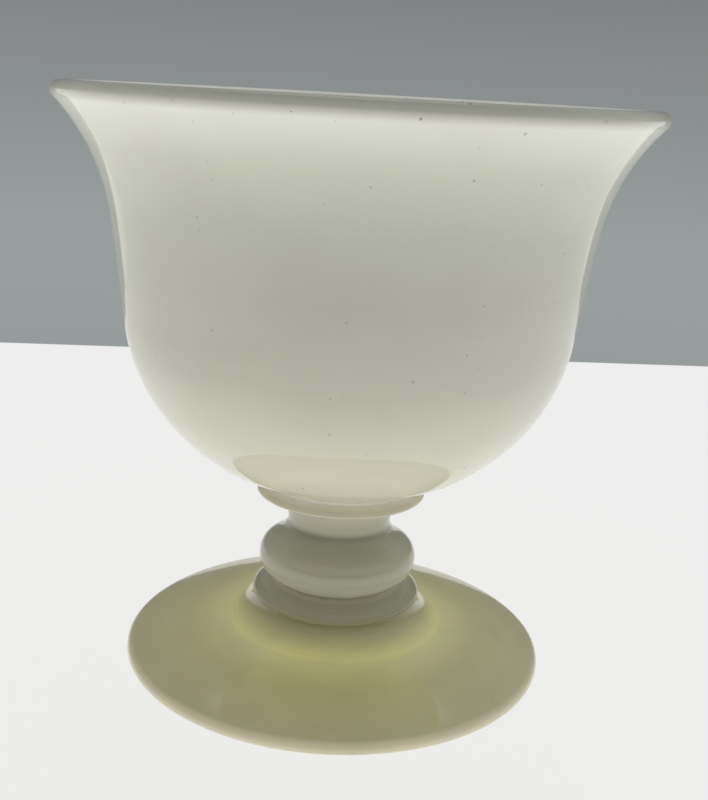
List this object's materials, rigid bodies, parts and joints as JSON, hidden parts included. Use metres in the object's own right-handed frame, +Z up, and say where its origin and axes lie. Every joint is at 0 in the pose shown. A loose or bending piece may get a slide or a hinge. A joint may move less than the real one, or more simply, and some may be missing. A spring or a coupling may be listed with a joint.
{
  "type": "pedestal salt cellar",
  "caption": "Open salt in opaque white glass: a bowl that flares to a beaded lip, on a knopped stem with wafer collars and a wide round foot.",
  "frame": {"origin": "centre of the flat ring that the foot rests on, at the bottom of the part", "axes": "+Z up along the axis of revolution; X and Y are any two level directions"},
  "size_m": [0.082, 0.082, 0.0821],
  "materials": {
    "bowl_glass": "opaque white blown glass, fire-polished, faint warm grey",
    "bowl_merese_glass": "opaque white blown glass, fire-polished, cream at the edge",
    "stem_glass": "opaque white blown glass, solid and so a little darker, fire-polished",
    "foot_merese_glass": "opaque white blown glass, solid and so a little darker, fire-polished",
    "foot_glass": "opaque white blown glass with a yellow-olive cast, fire-polished, worn underneath"
  },
  "bodies": {
    "root": {"bowl": "bowl_glass", "bowl_merese": "bowl_merese_glass", "knop_stem": "stem_glass", "foot_merese": "foot_merese_glass", "foot": "foot_glass"}
  },
  "joints": []
}
